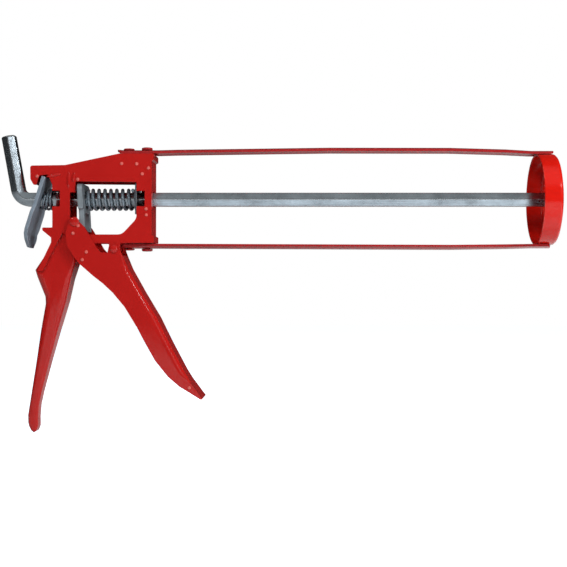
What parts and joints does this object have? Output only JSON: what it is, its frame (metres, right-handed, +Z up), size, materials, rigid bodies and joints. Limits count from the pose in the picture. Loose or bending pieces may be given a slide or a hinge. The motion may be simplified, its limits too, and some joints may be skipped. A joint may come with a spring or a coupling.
{
  "type": "skeleton caulking gun",
  "caption": "Skeleton caulking gun with an open two-strap cradle, front ring, bent hex push rod, spring-loaded drive plate, release lever and channel trigger.",
  "frame": {"origin": "middle of the gun's overall box, rod fully forward and trigger open", "axes": "+X along the push rod towards the front ring, +Z up away from the handle, +Y to the left seen from behind"},
  "size_m": [0.3274, 0.0536, 0.1742],
  "materials": {
    "red_enamel": "gloss red enamel",
    "zinc_plate": "bright zinc plate",
    "spring_steel": "dark spring steel"
  },
  "bodies": {
    "frame": {"frame_body": "red_enamel", "handle_channel": "red_enamel", "front_guide": "zinc_plate", "spring_washer": "spring_steel", "main_spring": "spring_steel", "release_spring": "spring_steel", "top_strap": "red_enamel", "bottom_strap": "red_enamel", "front_ring": "red_enamel", "strap_rivet_top_a": "red_enamel", "strap_rivet_top_b": "red_enamel", "strap_rivet_bottom_a": "red_enamel", "strap_rivet_bottom_b": "red_enamel", "trigger_pivot": "red_enamel"},
    "trigger": {"trigger": "red_enamel", "push_pin_left": "red_enamel", "push_pin_right": "red_enamel"},
    "drive": {"drive_plate": "zinc_plate"},
    "rod": {"hex_rod": "zinc_plate", "piston_disc": "zinc_plate", "piston_collar": "zinc_plate", "piston_rivet": "zinc_plate"},
    "lever": {"release_lever": "zinc_plate"}
  },
  "joints": [
    {"name": "trigger_pivot_hinge", "type": "hinge", "parent": "frame", "child": "trigger", "pos_m": [-0.0961, 0, 0.01996], "axis": [0, 1, 0], "range_deg": [0, 32], "stiffness_Nm_per_rad": 0.6, "springref_deg": -20.05},
    {"name": "drive_plate_slide", "type": "slide", "parent": "frame", "child": "drive", "axis": [1, 0, 0], "range_m": [0, 0.0125], "deforming": ["main_spring"]},
    {"name": "push_rod_slide", "type": "slide", "parent": "frame", "child": "rod", "axis": [1, 0, 0], "range_m": [-0.23, 0]},
    {"name": "release_lever_hinge", "type": "hinge", "parent": "frame", "child": "lever", "pos_m": [-0.1369, 0, 0.06146], "axis": [0, -1, 0], "range_deg": [0, 11], "stiffness_Nm_per_rad": 0.08, "springref_deg": -17.19, "deforming": ["release_spring"]}
  ],
  "couplings": [
    {"joint": "drive_plate_slide", "follows": "trigger_pivot_hinge", "m_per_rad": 0.022}
  ]
}
